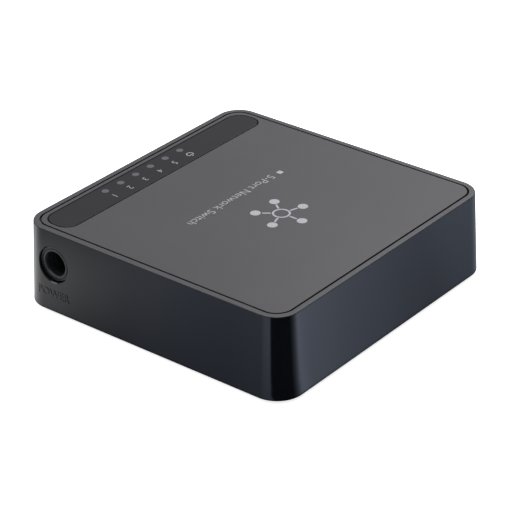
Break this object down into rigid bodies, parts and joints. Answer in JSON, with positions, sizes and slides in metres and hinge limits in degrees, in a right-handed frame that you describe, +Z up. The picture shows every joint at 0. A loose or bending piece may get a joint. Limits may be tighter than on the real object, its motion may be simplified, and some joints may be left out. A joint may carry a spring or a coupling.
{
  "type": "desktop network switch",
  "caption": "Small square desktop network switch: black drafted casing, matt top plate with indicator window, row of network sockets on one side, round power inlet on the next.",
  "frame": {"origin": "centre of the footprint, on the surface that the feet stand on", "axes": "+Z up, +X towards the side with the power inlet, -Y towards the side with the network sockets"},
  "size_m": [0.0872, 0.0852, 0.0235],
  "materials": {
    "casing_plastic": "moulded ABS, satin, near-black with a blue cast",
    "plate_plastic": "fine matt textured plate, charcoal grey",
    "window_plastic": "glossy smoked window with pale printed dots",
    "light_guide": "clear moulded light guide",
    "base_plastic": "moulded ABS, spark-eroded texture",
    "foot_rubber": "matt black rubber",
    "screw_steel": "zinc-plated steel",
    "label_film": "silver polyester film, blank",
    "board": "green solder mask on glass-epoxy laminate",
    "port_plastic": "glass-filled moulded block, black",
    "contact_gold": "gold-plated phosphor bronze",
    "lamp": "pale lens on a small surface-mounted lamp",
    "jack_plastic": "moulded nylon, black",
    "nickel": "nickel-plated brass",
    "chip_plastic": "moulded epoxy package",
    "thermal_pad": "soft silicone pad",
    "aluminium": "bare aluminium",
    "can_steel": "drawn steel can",
    "ferrite": "pressed ferrite, dark grey",
    "fuse_body": "green polymer fuse body"
  },
  "bodies": {
    "casing": {"top_shell": "casing_plastic", "top_plate": "plate_plastic", "indicator_window": "window_plastic", "light_pipe": "light_guide", "base_plate": "base_plastic", "foot_1": "foot_rubber", "foot_2": "foot_rubber", "foot_3": "foot_rubber", "foot_4": "foot_rubber", "case_screw_1": "screw_steel", "case_screw_2": "screw_steel", "board_screw_1": "screw_steel", "board_screw_2": "screw_steel", "rating_label": "label_film", "main_board": "board", "port_housing": "port_plastic", "led_power": "lamp", "led_1": "lamp", "led_2": "lamp", "led_3": "lamp", "led_4": "lamp", "led_5": "lamp", "dc_jack_body": "jack_plastic", "dc_jack_pin": "nickel", "dc_jack_terminal": "nickel", "switch_chip": "chip_plastic", "thermal_pad": "thermal_pad", "heat_sink": "aluminium", "transformer_1": "chip_plastic", "transformer_2": "chip_plastic", "transformer_3": "chip_plastic", "transformer_4": "chip_plastic", "transformer_5": "chip_plastic", "crystal": "can_steel", "config_memory": "chip_plastic", "regulator": "chip_plastic", "inductor_1": "ferrite", "inductor_2": "ferrite", "capacitor_1": "aluminium", "capacitor_2": "aluminium", "capacitor_3": "aluminium", "diode": "chip_plastic", "fuse": "fuse_body"},
    "port_1_springs": {"port_1_contacts": "contact_gold"},
    "port_2_springs": {"port_2_contacts": "contact_gold"},
    "port_3_springs": {"port_3_contacts": "contact_gold"},
    "port_4_springs": {"port_4_contacts": "contact_gold"},
    "port_5_springs": {"port_5_contacts": "contact_gold"},
    "power_inlet_spring": {"dc_jack_spring": "nickel"}
  },
  "joints": [
    {"name": "port_1_spring_lift", "type": "hinge", "parent": "casing", "child": "port_1_springs", "pos_m": [0.02275, -0.0392, 0.0172], "axis": [1, 0, 0], "range_deg": [0, 8], "stiffness_Nm_per_rad": 0.4},
    {"name": "port_2_spring_lift", "type": "hinge", "parent": "casing", "child": "port_2_springs", "pos_m": [0.00955, -0.0392, 0.0172], "axis": [1, 0, 0], "range_deg": [0, 8], "stiffness_Nm_per_rad": 0.4},
    {"name": "port_3_spring_lift", "type": "hinge", "parent": "casing", "child": "port_3_springs", "pos_m": [-0.00365, -0.0392, 0.0172], "axis": [1, 0, 0], "range_deg": [0, 8], "stiffness_Nm_per_rad": 0.4},
    {"name": "port_4_spring_lift", "type": "hinge", "parent": "casing", "child": "port_4_springs", "pos_m": [-0.01685, -0.0392, 0.0172], "axis": [1, 0, 0], "range_deg": [0, 8], "stiffness_Nm_per_rad": 0.4},
    {"name": "port_5_spring_lift", "type": "hinge", "parent": "casing", "child": "port_5_springs", "pos_m": [-0.03005, -0.0392, 0.0172], "axis": [1, 0, 0], "range_deg": [0, 8], "stiffness_Nm_per_rad": 0.4},
    {"name": "power_spring_press", "type": "hinge", "parent": "casing", "child": "power_inlet_spring", "pos_m": [0.03185, -0.0313, 0.00985], "axis": [0, 1, 0], "range_deg": [0, 4], "stiffness_Nm_per_rad": 0.4}
  ]
}
